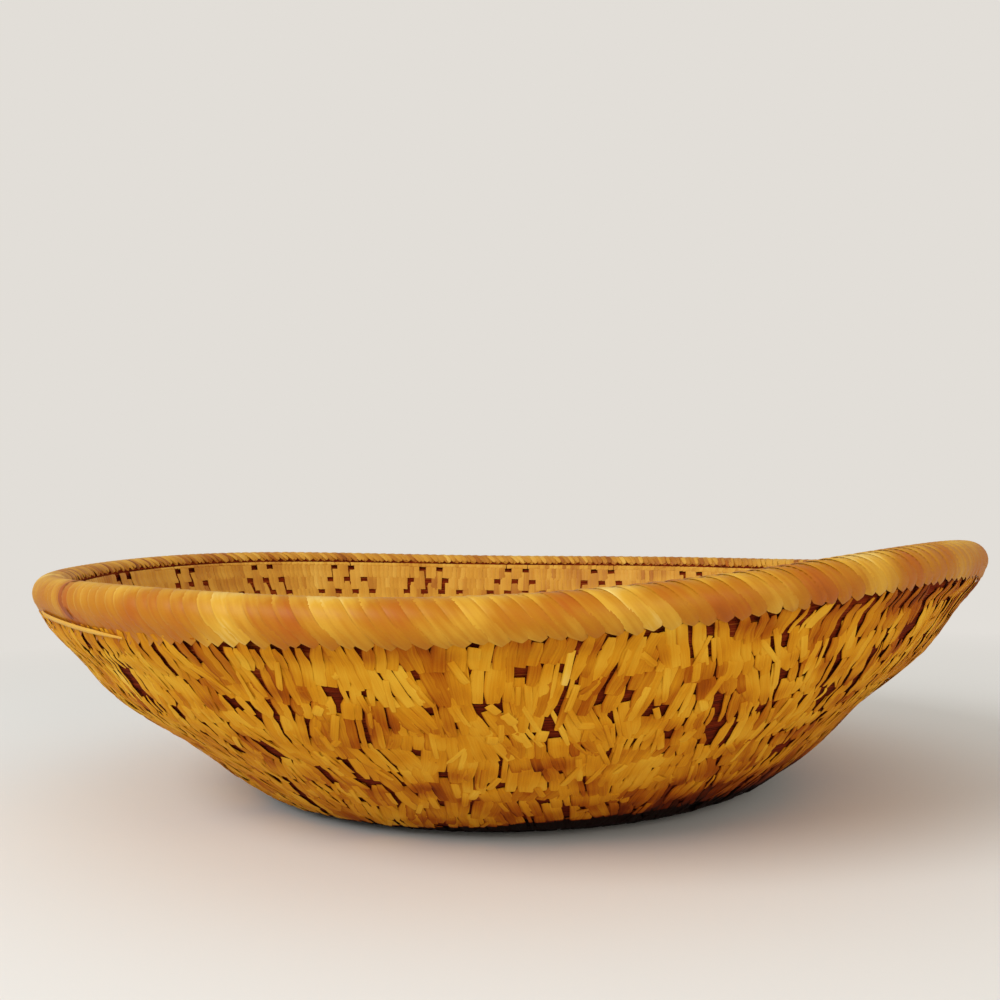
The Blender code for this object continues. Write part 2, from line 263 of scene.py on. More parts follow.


# %% [markdown]
# The lowest round or two are painted near black, and stay so on every layer: painted shadow of the dark gap
# where the foot meets the floor.
# Under the bowl, inside this ring, the painted shadow fades and the straw keeps more of its colour.

# %% The painted shadow at the foot
DARK_FOOT = 6 * MM
DARK_FOOT_EXTRA = 7 * MM
DARK_FOOT_AZIMUTH = 48
FOOT_FADE = 1.4 * MM
RING_INSIDE = 7 * MM
RING_FADE = 16 * MM
UNDERSIDE_LIGHT = 0.85


def painted_foot_shadow(azimuth, arc, tone):
    """Painted shadow on the round that the bowl stands on: broadest in front on the right."""
    at_front = ease((np.cos(np.radians(azimuth - DARK_FOOT_AZIMUTH)) - 0.3) / 0.5)
    level = DARK_FOOT + DARK_FOOT_EXTRA * at_front
    under = UNDERSIDE_LIGHT * ease((-arc - RING_INSIDE) / RING_FADE)
    light = np.maximum(ease((arc - level) / FOOT_FADE), under)
    return tone * light - 0.6 * (1 - light)


# %% [markdown]
# A splint is a thin flat strip of straw with rounded edges.
# One template bar is made with operators: a five-sided prism, cut across into short lengths.
# All the splints of a layer are copies of it, and each copy's corners are then laid
# along that splint's own line by formula. That keeps one splint to a few dozen faces.

# %% Splints
BAR_SIDES = 5
SHORT_STATIONS = 7
LONG_STATIONS = 13
SHARP_DEG = 62


def template_bar(sides, stations):
    shape = bmesh.new()
    bmesh.ops.create_cone(
        shape, cap_ends=True, segments=sides, radius1=1, radius2=1, depth=stations - 1
    )
    long_edges = [e for e in shape.edges if abs(e.verts[0].co.z - e.verts[1].co.z) > 0.5]
    bmesh.ops.subdivide_edges(shape, edges=long_edges, cuts=stations - 2, use_grid_fill=True)
    bmesh.ops.translate(shape, vec=(0, 0, (stations - 1) / 2), verts=shape.verts)
    return shape


def copies_of(shape, count):
    """The bar repeated by doubling, with the spare copies cut away."""
    each = len(shape.verts)
    while len(shape.verts) < count * each:
        bmesh.ops.duplicate(shape, geom=shape.verts[:] + shape.edges[:] + shape.faces[:])
    shape.verts.ensure_lookup_table()
    bmesh.ops.delete(shape, geom=shape.verts[count * each :], context="VERTS")
    return shape


def unit(vectors):
    return vectors / np.maximum(np.linalg.norm(vectors, axis=-1, keepdims=True), 1e-12)


def add_layer(mesh, name, kind, values):
    layer = mesh.attributes.new(name, kind, "POINT")
    layer.data.foreach_set("vector" if kind == "FLOAT_VECTOR" else "value", values.astype(np.float32).ravel())


def lay_bars(
    name, middle, face, half_width, thickness, tilt=0, tone=0.5, droop=0, flat=True, sides=BAR_SIDES
):
    """One object of many bars, each laid along its row of middle points with its face outwards.

    Droop bends a broad splint's edges down, so that it hugs a round surface.
    """
    count, stations = middle.shape[:2]
    shape = template_bar(sides, stations)
    shape.verts.ensure_lookup_table()
    corner = np.array([v.co for v in shape.verts])
    each = len(corner)
    mesh = bpy.data.meshes.new(name)
    copies_of(shape, count).to_mesh(mesh)
    shape.free()
    station = np.rint(corner[:, 2]).astype(int)
    widest = np.abs(corner[:, 0]).max()
    across = corner[:, 0] / widest
    rise = corner[:, 1]
    if flat:
        turned = -corner[:, 1]
        edge = turned[np.argmax(np.abs(corner[:, 0]))]
        rise = (turned - edge) / (turned.max() - edge)
    along = unit(np.gradient(middle, axis=1))
    side = unit(np.cross(face, along))
    out = np.cross(along, side)
    width = np.broadcast_to(half_width, (count, stations))[:, station]
    thick = np.broadcast_to(thickness, (count, stations))[:, station]
    lean = np.broadcast_to(np.reshape(tilt, (-1, 1)), (count, 1))
    sideways = across * width
    hug = np.broadcast_to(droop, (count, stations))[:, station]
    upwards = rise * thick + lean * sideways - hug * sideways**2
    points = middle[:, station] + side[:, station] * sideways[..., None] + out[:, station] * upwards[..., None]
    mesh.vertices.foreach_set("co", points.astype(np.float32).ravel())
    steps = np.linalg.norm(np.diff(middle, axis=1), axis=2)
    length = np.concatenate((np.zeros((count, 1)), np.cumsum(steps, axis=1)), axis=1)
    seed = np.random.default_rng(len(name)).random((count, 1)) * np.ones(each)
    add_layer(mesh, "strand", "FLOAT_VECTOR", np.stack((length[:, station], sideways, seed), axis=-1))
    add_layer(mesh, "span", "FLOAT", np.tile(across, count))
    shade = np.broadcast_to(tone, (count, stations))[:, station]
    add_layer(mesh, "tone", "FLOAT", shade)
    mesh.shade_smooth()
    mesh.set_sharp_from_angle(angle=math.radians(SHARP_DEG))
    mesh.update()
    made = bpy.data.objects.new(name, mesh)
    bpy.context.scene.collection.objects.link(made)
    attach(made, "root")
    print(f"{name}: {count} bars, {len(mesh.polygons)} faces")
    return made


# %% [markdown]
# Shader maths reads best as sums. The small class below wraps a socket, so that
# tone + 0.3 * (fibre - 0.5) adds the Math nodes that it needs.

# %% Node helpers
class Wire:
    """A socket's output that joins in with Python's sums."""

    def __init__(self, nodes, output):
        self.nodes = nodes
        self.output = output

    def joined(self, operation, first, second):
        return self.nodes.add("Math", {"operation": operation}, {0: first, 1: second})

    def __add__(self, other):
        return self.joined("ADD", self, other)

    def __radd__(self, other):
        return self.joined("ADD", other, self)

    def __sub__(self, other):
        return self.joined("SUBTRACT", self, other)

    def __rsub__(self, other):
        return self.joined("SUBTRACT", other, self)

    def __mul__(self, other):
        return self.joined("MULTIPLY", self, other)

    def __rmul__(self, other):
        return self.joined("MULTIPLY", other, self)


class Nodes:
    """A node tree, with one method that adds any node."""

    def __init__(self, tree):
        self.tree = tree

    def add(self, kind, settings=None, inputs=None, output=0):
        node = self.tree.nodes.new("ShaderNode" + kind)
        for name, value in (settings or {}).items():
            if name == "stops":
                self.set_stops(node.color_ramp, value)
            else:
                setattr(node, name, value)
        for name, value in (inputs or {}).items():
            self.feed(node.inputs[name], value)
        return Wire(self, node.outputs[output])

    def feed(self, socket, value):
        if isinstance(value, Wire):
            self.tree.links.new(value.output, socket)
        else:
            socket.default_value = value

    def set_stops(self, ramp, stops):
        while len(ramp.elements) < len(stops):
            ramp.elements.new(0.5)
        for element, (place, colour) in zip(ramp.elements, stops):
            element.position = place
            element.color = colour


def srgb(red, green, blue):
    """A colour read off a screen, as the linear colour that shaders use."""
    parts = []
    for value in (red, green, blue):
        share = value / 255
        parts.append(share / 12.92 if share <= 0.04045 else ((share + 0.055) / 1.055) ** 2.4)
    return (*parts, 1)


# %% [markdown]
# Straw is never one colour. Each splint has its own tone, long fibres run down it as fine
# streaks, and wider blotches of amber and pale yellow cross it. The fibres follow the splint,
# so they read its own lengthways and crossways distances. The blotches read object coordinates.

# %% Straw
STRAW_STOPS = (
    # The darkest stop is the colour of the painted shadow at the foot.
    (0.0, srgb(22, 5, 1)),
    (0.14, srgb(104, 36, 4)),
    (0.3, srgb(162, 82, 9)),
    (0.5, srgb(205, 138, 24)),
    (0.72, srgb(224, 172, 50)),
    (1.0, srgb(240, 212, 118)),
)
NEAT_STOPS = (
    (0.0, srgb(70, 24, 3)),
    (0.3, srgb(160, 92, 20)),
    (0.5, srgb(202, 146, 46)),
    (0.72, srgb(220, 174, 74)),
    (1.0, srgb(240, 212, 130)),
)
# The grass's darkest colour, for the painted shadow at the foot.
FOOT_SHADOW_BLACK = srgb(18, 6, 2)
LIT_GRASS = srgb(176, 104, 34)
RIM_STOPS = (
    (0.0, srgb(120, 46, 2)),
    (0.3, srgb(168, 88, 3)),
    (0.5, srgb(177, 113, 8)),
    (0.72, srgb(204, 154, 44)),
    (1.0, srgb(234, 212, 132)),
)


def straw(name, stops, blotch_scale, blotch_depth, fibre_scale, fibre_depth, roughness, gloss, painted_edge_shading=0.0):
    material = bpy.data.materials.new(name)
    material.use_nodes = True
    nodes = Nodes(material.node_tree)
    shader = material.node_tree.nodes["Principled BSDF"]
    strand = nodes.add("Attribute", {"attribute_name": "strand"}, output="Vector")
    tone = nodes.add("Attribute", {"attribute_name": "tone"}, output="Fac")
    along = nodes.add("SeparateXYZ", inputs={0: strand}, output="X")
    across = nodes.add("SeparateXYZ", inputs={0: strand}, output="Y")
    seed = nodes.add("SeparateXYZ", inputs={0: strand}, output="Z")
    fibre_place = nodes.add(
        "CombineXYZ", inputs={0: along * 90, 1: across * fibre_scale, 2: seed * 90}
    )
    fibre = nodes.add("TexNoise", inputs={"Vector": fibre_place, "Scale": 1, "Detail": 2})
    place = nodes.add("TexCoord", output="Object")
    blotch = nodes.add("TexNoise", inputs={"Vector": place, "Scale": blotch_scale, "Detail": 1})
    span = nodes.add("Attribute", {"attribute_name": "span"}, output="Fac")
    # One long edge of each splint is painted: negative values paint a thin line of shade, like a contact
    # shadow, and positive ones a painted highlight.
    edge = nodes.add("MapRange", inputs={0: span, 1: 0.6, 2: 1.0, 3: 0.0, 4: 1.0})
    shade = tone + blotch_depth * (blotch - 0.5) + fibre_depth * (fibre - 0.5) + painted_edge_shading * edge
    colour = nodes.add("ValToRGB", {"stops": stops}, {0: shade})
    nodes.feed(shader.inputs["Base Color"], colour)
    nodes.feed(shader.inputs["Roughness"], roughness + 0.25 * (fibre - 0.5))
    shader.inputs["Specular IOR Level"].default_value = gloss
    bump = nodes.add("Bump", inputs={"Strength": 0.4, "Distance": 0.08 * MM, "Height": fibre})
    nodes.feed(shader.inputs["Normal"], bump)
    return material


def grass(name, colour, dark):
    """Fine stems side by side, dark with age and shadow."""
    material = bpy.data.materials.new(name)
    material.use_nodes = True
    nodes = Nodes(material.node_tree)
    shader = material.node_tree.nodes["Principled BSDF"]
    strand = nodes.add("Attribute", {"attribute_name": "strand"}, output="Vector")
    along = nodes.add("SeparateXYZ", inputs={0: strand}, output="X")
    across = nodes.add("SeparateXYZ", inputs={0: strand}, output="Y")
    stem_place = nodes.add("CombineXYZ", inputs={0: along * 60, 1: across * 2200})
    stems = nodes.add("TexNoise", inputs={"Vector": stem_place, "Scale": 1, "Detail": 2})
    tone = nodes.add("Attribute", {"attribute_name": "tone"}, output="Fac")
    # The first stop is the painted shadow at the foot.
    stops = ((0.0, FOOT_SHADOW_BLACK), (0.35, dark), (0.65, colour), (0.95, LIT_GRASS))
    mixed = nodes.add("ValToRGB", {"stops": stops}, {0: stems + tone - 0.5})
    nodes.feed(shader.inputs["Base Color"], mixed)
    shader.inputs["Roughness"].default_value = 0.9
    shader.inputs["Specular IOR Level"].default_value = 0.05
    bump = nodes.add("Bump", inputs={"Strength": 0.7, "Distance": 0.3 * MM, "Height": stems})
    nodes.feed(shader.inputs["Normal"], bump)
    return material


# The last number paints one long edge: painted shade on the stitches, a painted highlight on the rim wraps.
SPLINT_FINISH = straw("straw_splint", STRAW_STOPS, 90, 0.55, 2600, 0.2, 0.65, 0.03, -0.13)
NEAT_FINISH = straw("straw_stitch", NEAT_STOPS, 60, 0.35, 2600, 0.16, 0.55, 0.2, -0.06)
RIM_FINISH = straw("amber_splint", RIM_STOPS, 60, 0.75, 900, 0.25, 0.5, 0.2, 0.04)
GRASS_FINISH = grass("dark_grass", srgb(116, 36, 7), srgb(66, 16, 4))


STRIP_NODES = [f"sewing_strip_{number}" for number in range(1, 8)]


def finish_piece(made, material, slot_name, *nodes):
    made.data.materials.append(material)
    if nodes:
        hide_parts(*nodes)
    return made


# %% [markdown]
# The grass itself shows only as dark burgundy gaps between the splints.
# It is one long eight-sided bar for the base and wall, and a thicker one for the rim.
# Its section is taller than it is deep, so that each round touches the next.

# %% The swell under the rim
RIM_SWELL_START = 10 * MM
RIM_SWELL_EXTRA = 8 * MM
SHARP_EDGE_AZIMUTH = 22
RIM_SWELL = 2.9 * MM


def rim_swell(azimuth, arc):
    """Near the rim the skin rides out over the thicker rim coil, most gently at the two ends."""
    at_front = ease((np.cos(np.radians(azimuth - SHARP_EDGE_AZIMUTH)) - 0.55) / 0.35)
    start = RIM_SWELL_START + (1 - at_front) * RIM_SWELL_EXTRA
    return RIM_SWELL * ease((arc - (RIM_ARC - start)) / start)


# %% Grass coils
COIL_STEPS_A_TURN = 48
BUNDLE_HALF_HEIGHT = 4.2 * MM
BUNDLE_HALF_DEPTH = 2.0 * MM
BUNDLE_TALLER_ON_WALL = 1.8 * MM
BUNDLE_OUTER_DEPTH = 2.2 * MM
BUNDLE_UNDER_BASE = 0.75 * MM
FOOT_ZONE = 9 * MM
RIM_BUNDLE_RADIUS = 4.7 * MM
TAIL_TURNS = 1.1
TAIL_END_SHARE = 0.7
LIGHTER_FROM = 19 * MM
LIGHTER_OVER = 9 * MM
LIGHTER_BY = 0.1
FLOOR_GAP = 0.15 * MM
SWELL_FILLED = 0.9


def keep_above_floor(made, lowest=FLOOR_GAP):
    """What lies under the bowl is pressed flat where it stands."""
    for vertex in made.data.vertices:
        vertex.co.z = max(vertex.co.z, lowest)


def rim_point(azimuth, angle, distance):
    """A point round the rim coil: angle 0 points outwards, 90 up and 180 into the bowl."""
    across = distance * np.cos(np.radians(angle))
    rise = distance * np.sin(np.radians(angle))
    lift = warp(azimuth, np.full(np.shape(azimuth), RIM_ARC))
    return around(azimuth, RIM_MIDDLE_RADIUS + across, RIM_MIDDLE_HEIGHT + rise + lift)


def make_grass():
    steps = round((BASE_TURNS + WALL_TURNS + TAIL_TURNS) * COIL_STEPS_A_TURN)
    turn = np.linspace(-BASE_TURNS, WALL_TURNS + TAIL_TURNS, steps)
    azimuth = coil_azimuth(turn)
    arc = np.minimum(coil_arc(turn), RIM_ARC - RIM_RADIUS)
    share = np.interp(turn, (WALL_TURNS, WALL_TURNS + TAIL_TURNS), (1, TAIL_END_SHARE))
    full = BUNDLE_UNDER_BASE + (BUNDLE_OUTER_DEPTH - BUNDLE_UNDER_BASE) * ease(arc / FOOT_ZONE)
    outer = full + rim_swell(azimuth, arc) + unevenness(azimuth, arc, 1)
    inner = BUNDLE_HALF_DEPTH + SWELL_FILLED * rim_swell(180, arc)
    middle = on_bowl(azimuth, arc, (outer - inner) / 2)[None]
    face = bowl_face(azimuth, arc)[None]
    tall = ((BUNDLE_HALF_HEIGHT + BUNDLE_TALLER_ON_WALL * ease(arc / FOOT_ZONE)) * share)[None]
    deep = ((outer + inner) / 2)[None]
    near_rim = ease((arc - (RIM_ARC - LIGHTER_FROM)) / LIGHTER_OVER)
    tone = painted_foot_shadow(azimuth, arc, 0.5 + LIGHTER_BY * near_rim)[None]
    coil = lay_bars("grass_bundle", middle, face, tall, deep, tone=tone, flat=False, sides=8)
    keep_above_floor(coil)
    finish_piece(coil, GRASS_FINISH, "grass_coil", "base_coil", "lower_wall_coil", "upper_wall_coil")
    azimuth = np.linspace(0, FULL_TURN, 240)
    middle = rim_point(azimuth, 0, 0)[None]
    face = around(azimuth, 1, 0)[None]
    thick = RIM_BUNDLE_RADIUS
    rim = lay_bars("rim_bundle", middle, face, thick, thick, tone=0.56, flat=False, sides=12)
    finish_piece(rim, GRASS_FINISH, "rim_coil", "rim_coil")


make_grass()

# %% [markdown]
# The coil starts in the middle of the base as a tight curl, too small to be sewn round by round.
# A star of stitches holds it, above and below.

# %% Start knot
KNOT_CURL_TURNS = 4.3
KNOT_CURL_PITCH = 2.2 * MM
KNOT_CURL_HALF_WIDTH = 1.6 * MM
KNOT_CURL_HALF_DEPTH = 1.0 * MM
STAR_STITCHES = 14
STAR_REACH = 9.5 * MM
STAR_SKIN = 2.5 * MM
UNDER_SKIN = 1.0 * MM


def make_start_knot():
    turn = np.linspace(0.1, KNOT_CURL_TURNS, 120)
    middle = around(FULL_TURN * turn + SEAM_AZIMUTH, KNOT_CURL_PITCH * turn, BASE_MIDDLE + FLOOR_GAP)[None]
    up = np.broadcast_to((0, 0, 1), middle.shape)
    wide, deep = KNOT_CURL_HALF_WIDTH, KNOT_CURL_HALF_DEPTH
    curl = lay_bars("knot_curl", middle, up, wide, deep, flat=False, sides=8)
    keep_above_floor(curl)
    finish_piece(curl, GRASS_FINISH, "start_knot", "start_knot")
    draw = np.random.default_rng(7)
    share = np.linspace(0, 1, SHORT_STATIONS)
    azimuth = FULL_TURN * (np.arange(STAR_STITCHES) + draw.normal(0, 0.15, STAR_STITCHES)) / STAR_STITCHES
    for name, skin in (("knot_star_above", -STAR_SKIN), ("knot_star_below", UNDER_SKIN)):
        reach = STAR_REACH * draw.uniform(0.85, 1.1, STAR_STITCHES)
        arc = -BASE_RADIUS + 0.4 * MM + reach[:, None] * share
        across = azimuth[:, None] + 12 * share
        order = np.sign(skin) * 0.03 * MM * np.arange(STAR_STITCHES)[:, None] / STAR_STITCHES
        middle = on_bowl(across, arc, skin + order + 0.2 * MM * np.sign(skin) * np.cos(math.pi * share / 2))
        face = np.sign(skin) * bowl_face(across, arc)
        width = 1.15 * MM * np.interp(share, (0, 0.3, 1), (0.35, 0.8, 1))
        star = lay_bars(name, middle, face, width, 0.16 * MM, tone=draw.normal(0.42, 0.06, (STAR_STITCHES, 1)))
        finish_piece(star, NEAT_FINISH, "start_knot")


make_start_knot()

# %% [markdown]
# Inside, the sewing is neat: splints of one width lie side by side, straight up the wall.
# Under the rim the maker left out pairs of stitches, two, three and four to a row, so that
# small windows on to the dark grass form pyramids all the way round.

# %% Inside stitches
INSIDE_PITCH = 2.1 * MM
INSIDE_SKIN = 2.35 * MM
INSIDE_BULGE = 0.4 * MM
CELL_STITCHES = 4
PYRAMID_STEP_DEG = 16.8
PYRAMID_BACK_AZIMUTH = 178.8
PYRAMID_ROWS = (2, 3, 4)
FIRST_WINDOW_BELOW = 3.5 * MM
INSIDE_TOP_END = 1.6 * MM
SHORTEST_STITCH = 0.8 * MM
INSIDE_HALF_WIDTH = 1.12
BESIDE_WINDOW_HALF_WIDTH = 1.5


def open_windows(turn, arc):
    """Which stitches are left out: by row below the rim and by place in the pyramid."""
    azimuth = coil_azimuth(turn)
    below = (RIM_ARC - FIRST_WINDOW_BELOW - arc) / WALL_PITCH
    row = np.rint(below).astype(int)
    from_back = (azimuth - PYRAMID_BACK_AZIMUTH + 180) % FULL_TURN - 180
    number = np.rint(from_back / PYRAMID_STEP_DEG)
    along = np.radians(from_back - number * PYRAMID_STEP_DEG) * bowl_radius(arc)
    cell = CELL_STITCHES * INSIDE_PITCH
    windows = np.array((*PYRAMID_ROWS, 0))[np.clip(row, 0, len(PYRAMID_ROWS))]
    windows = np.where(row < 0, 0, windows)
    place = along / cell + windows / 2
    inside = (place > 0) & (place < windows)
    return inside & (np.abs(place % 1 - 0.5) < 0.25)


def make_inside_stitches():
    draw = np.random.default_rng(11)
    turn = turns_every(INSIDE_PITCH, -BASE_TURNS, WALL_TURNS + 2)
    arc = coil_arc(turn)
    top = RIM_ARC - INSIDE_TOP_END
    opened = open_windows(turn, arc)
    beside = np.roll(opened, 1) | np.roll(opened, -1)
    keep = ~opened & (arc - WALL_PITCH < top - SHORTEST_STITCH)
    turn, arc = turn[keep], arc[keep]
    half = np.where(beside, BESIDE_WINDOW_HALF_WIDTH, INSIDE_HALF_WIDTH)[keep]
    count = len(turn)
    share = np.linspace(0, 1, SHORT_STATIONS)
    low = draw.uniform(-1.04, -0.98, count) * WALL_PITCH
    high = np.minimum(draw.uniform(0.6, 0.68, count) * WALL_PITCH, top - arc)
    up = low[:, None] + (high - low)[:, None] * share
    lean = np.radians(draw.normal(0, 2.5, count) + 6 * drift(coil_azimuth(turn), arc, 9, 3))
    place = arc[:, None] + up
    azimuth = coil_azimuth(turn)[:, None] + degrees_for(np.tan(lean)[:, None] * up, place)
    lift = np.interp(share, (0, 0.08, 0.3, 1), (0.05, 0.24, 0.18, 0)) * MM
    crown = INSIDE_BULGE * (np.cos(math.tau * up / WALL_PITCH) - 1) / 2
    out = -(INSIDE_SKIN + crown + lift + rim_swell(180, place) + draw.normal(0, 0.02, (count, 1)) * MM)
    middle = on_bowl(azimuth, place, out)
    face = -bowl_face(azimuth, place)
    narrower = bowl_radius(place) / bowl_radius(arc)[:, None]
    width = draw.normal(half, 0.06)[:, None] * MM * narrower
    tone = draw.normal(0.5, 0.045, (count, 1)) + 0.05 * drift(azimuth, place, 12, 4)
    parts = np.array_split(np.arange(count), 3)
    for number, part in enumerate(parts):
        made = lay_bars(
            f"inside_stitches_{number + 1}",
            middle[part],
            face[part],
            width[part],
            0.13 * MM,
            tilt=draw.normal(0, 0.03, len(part)),
            tone=tone[part],
        )
        finish_piece(made, NEAT_FINISH, "sewing_strip", *STRIP_NODES)


make_inside_stitches()

# %% [markdown]
# The outside is the rough side. It is sewn in patches: a few neighbouring stitches share a lean
# and a height of one round or two, and where a tall patch covers the round below, that round
# needs no stitches of its own. The grass shows dark wherever patches do not quite meet.

# %% Outside stitches
OUTSIDE_PITCH = 2.6 * MM
WALL_SKIN = 2.45 * MM
BASE_SKIN = 1.0 * MM
OUTSIDE_BULGE = 0.2 * MM
TOP_ROW_END = 2.4 * MM
RIGHT_TOP_ROW_LOWER = 0.3 * MM
CUT_SHORT = (1.4 * MM, 2.8 * MM)
PATCH_STITCHES = (3, 8)
TALL_SHARE = 0.4
FOOT_TALL_SHARE = 0.8
FOOT_TALL_TO = 28 * MM
LOW_RIGHT_RED_AND_SHADE = 0.6
LOW_RIGHT_RED_AND_SHADE_TO = 38 * MM
OPEN_BELOW = 0.24
MISSING_SHARE = (0.008, 0.085)
SLIM_SHARE = 0.1
LEAN_DEG = 13
LEAN_AZIMUTH_WAVES = 14
LEAN_SEED = 5
UPRIGHT_AZIMUTH = 27
UPRIGHT_REACH = 15
UPRIGHT_DEG = 11

# Where stitches have worn thin: azimuth, middle's distance below the rim, length and width
WORN_SPOTS = (
    (-45.3, 21 * MM, 27 * MM, 10.0 * MM),
    (-43.0, 15 * MM, 4 * MM, 4.0 * MM),
    (-33.5, 19 * MM, 4 * MM, 3.2 * MM),
    (22.3, 34 * MM, 14 * MM, 6.6 * MM),
    (28.5, 36 * MM, 7 * MM, 6.5 * MM),
    (39.0, 35 * MM, 15 * MM, 8.0 * MM),
    (42.5, 23 * MM, 9 * MM, 6.0 * MM),
    (48.0, 15 * MM, 10 * MM, 6.0 * MM),
    (9.0, 31 * MM, 3 * MM, 3.6 * MM),
    (152.0, 28 * MM, 8 * MM, 5.0 * MM),
    (236.0, 40 * MM, 9 * MM, 5.0 * MM),
)


def outside_skin(azimuth, arc, up):
    flat_share = 1 - ease(arc / FOOT_ZONE)
    crown = OUTSIDE_BULGE * (np.cos(math.tau * up / WALL_PITCH) - 1) / 2
    full = WALL_SKIN + (BASE_SKIN - WALL_SKIN) * flat_share
    bulge = unevenness(azimuth, arc, 1)
    return full + crown * (1 - 0.6 * flat_share) + rim_swell(azimuth, arc) + bulge


def worn(azimuth, arc):
    """1 on sound places, falling towards 0 in the middle of a worn one."""
    sound = 1
    for spot_azimuth, below, length, width in WORN_SPOTS:
        turned = (azimuth - spot_azimuth + 180) % FULL_TURN - 180
        along = np.radians(turned) * bowl_radius(arc) / (width / 2)
        up = (arc - (RIM_ARC - below)) / (length / 2)
        sound = sound * ease(np.sqrt(along**2 + up**2) / 1.25)
    return sound


def swing(azimuth, arc):
    """How far whole areas lean, in degrees. In front on the right they stand more upright."""
    turned = (azimuth - UPRIGHT_AZIMUTH + 180) % FULL_TURN - 180
    upright = UPRIGHT_DEG * np.exp(-((turned / UPRIGHT_REACH) ** 2))
    return LEAN_DEG * drift(azimuth, arc, LEAN_AZIMUTH_WAVES, LEAN_SEED) - upright


def redder_straw_and_painted_shade(azimuth, arc):
    """How much darker and redder the straw is painted: painted shade under the rim and on the lower wall, and
    most low on the right, partly the straw's own redder colour and partly painted shade away from the key
    lamp.
    """
    to_right = ease((np.sin(np.radians(azimuth)) + 0.15) / 0.75)
    # Painted shade on the lower wall.
    low_down = 0.045 * ease((60 * MM - arc) / (40 * MM))
    # Painted shade under the rim's overhang.
    by_rim = 0.055 * ease((arc - RIM_ARC + 14 * MM) / (8 * MM))
    # Low on the right: the straw's own redder colour together with painted shade away from the key lamp.
    return by_rim + low_down + LOW_RIGHT_RED_AND_SHADE * to_right * ease((LOW_RIGHT_RED_AND_SHADE_TO - arc) / LOW_RIGHT_RED_AND_SHADE_TO)


def stitch_plan(draw, turn):
    """One row a stitch: its index, whether it is tall, its patch's lean, its fan and its tone."""
    covered = np.zeros(len(turn), bool)
    arc = coil_arc(turn)
    plan = []
    index = len(turn) - 1
    while index >= 0:
        size = int(draw.integers(*PATCH_STITCHES))
        members = [n for n in range(index, max(index - size, -1), -1) if not covered[n]]
        tall_share = FOOT_TALL_SHARE if arc[index] < FOOT_TALL_TO else TALL_SHARE
        tall = draw.random() < tall_share and arc[index] > WALL_PITCH
        lean, fan, shade = draw.normal(0, 1, 3)
        for place, n in enumerate(members):
            from_middle = place - (len(members) - 1) / 2
            plan.append((n, tall, lean, fan * from_middle, shade))
        if tall and members:
            below = (turn[members[-1]] - 1, turn[members[0]] - 1)
            first, last = np.searchsorted(turn, below)
            covered[first + 1 : last] = True
        index -= size
    return np.array(plan, float)


